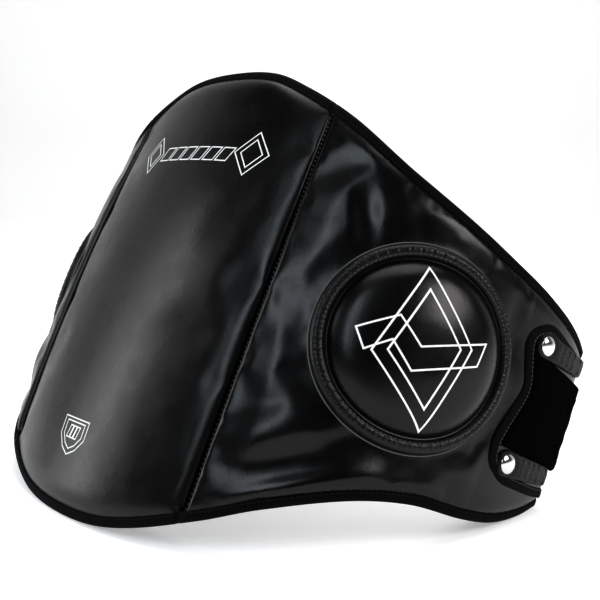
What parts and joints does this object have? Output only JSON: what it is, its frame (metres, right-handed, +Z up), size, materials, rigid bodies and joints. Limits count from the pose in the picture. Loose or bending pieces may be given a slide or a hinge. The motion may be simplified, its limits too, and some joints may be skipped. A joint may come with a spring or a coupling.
{
  "type": "belly protector",
  "caption": "Padded belly protector with two wrap-round wings, round side targets, riveted anchor patches and a hook-and-loop strap closed behind the back",
  "frame": {"origin": "centre of the bounding box at floor level", "axes": "+Z up, the pad's front faces -Y, the wearer's left is +X"},
  "size_m": [0.4272, 0.3023, 0.2906],
  "materials": {
    "leather": "satin, fine grain",
    "leather_trim": "satin, fine grain",
    "target_leather": "satin, with a white printed outline",
    "foam": "matt closed-cell foam",
    "lining": "matt quilted nylon",
    "tape": "matt woven edge tape",
    "velvet": "short-pile loop velvet",
    "hook_tape": "matt hook tape",
    "webbing": "matt ribbed webbing",
    "thread_channel": "matt piping cord in the seam",
    "rivet": "polished nickel"
  },
  "bodies": {
    "front_panel": {"panel_cover": "leather", "panel_foam": "foam", "panel_lining": "lining", "panel_top_tape": "tape", "panel_low_tape": "tape", "left_seam_welt": "thread_channel", "right_seam_welt": "thread_channel"},
    "left_wing": {"left_wing_cover": "leather", "left_wing_foam": "foam", "left_wing_lining": "lining", "left_wing_top_tape": "tape", "left_wing_low_tape": "tape", "left_wing_end_tape": "tape", "left_target_ring": "leather_trim", "left_target_dome": "target_leather", "left_target_foam": "foam", "left_anchor_patch": "leather", "left_patch_edge": "tape", "left_upper_arm": "leather_trim", "left_lower_arm": "leather_trim", "left_strap_root": "velvet", "left_rivets": "rivet", "left_washers": "rivet"},
    "right_wing": {"right_wing_cover": "leather", "right_wing_foam": "foam", "right_wing_lining": "lining", "right_wing_top_tape": "tape", "right_wing_low_tape": "tape", "right_wing_end_tape": "tape", "right_target_ring": "leather_trim", "right_target_dome": "target_leather", "right_target_foam": "foam", "right_anchor_patch": "leather", "right_patch_edge": "tape", "right_upper_arm": "leather_trim", "right_lower_arm": "leather_trim", "right_strap_root": "velvet", "right_rivets": "rivet", "right_washers": "rivet"},
    "left_strap": {"left_strap": "webbing", "left_loop_field": "velvet"},
    "right_strap": {"right_strap": "webbing", "right_hook_field": "hook_tape", "right_pull_tab": "leather_trim"}
  },
  "joints": [
    {"name": "left_wing_flex", "type": "hinge", "parent": "front_panel", "child": "left_wing", "pos_m": [0.10898, -0.06782, 0.13699], "axis": [0, -0.4611, -0.8874], "range_deg": [0, 30]},
    {"name": "right_wing_flex", "type": "hinge", "parent": "front_panel", "child": "right_wing", "pos_m": [-0.10898, -0.06782, 0.13699], "axis": [0, 0.4611, 0.8874], "range_deg": [0, 30]},
    {"name": "left_strap_swing", "type": "hinge", "parent": "left_wing", "child": "left_strap", "pos_m": [0.20209, 0.12142, 0.05492], "axis": [0, 0.4693, 0.883], "range_deg": [0, 30]},
    {"name": "right_strap_peel", "type": "hinge", "parent": "right_wing", "child": "right_strap", "pos_m": [-0.20501, 0.12204, 0.05459], "axis": [0, 0.4693, 0.883], "range_deg": [0, 100]}
  ],
  "couplings": [
    {"joint": "right_wing_flex", "follows": "left_wing_flex", "ratio": 1}
  ]
}
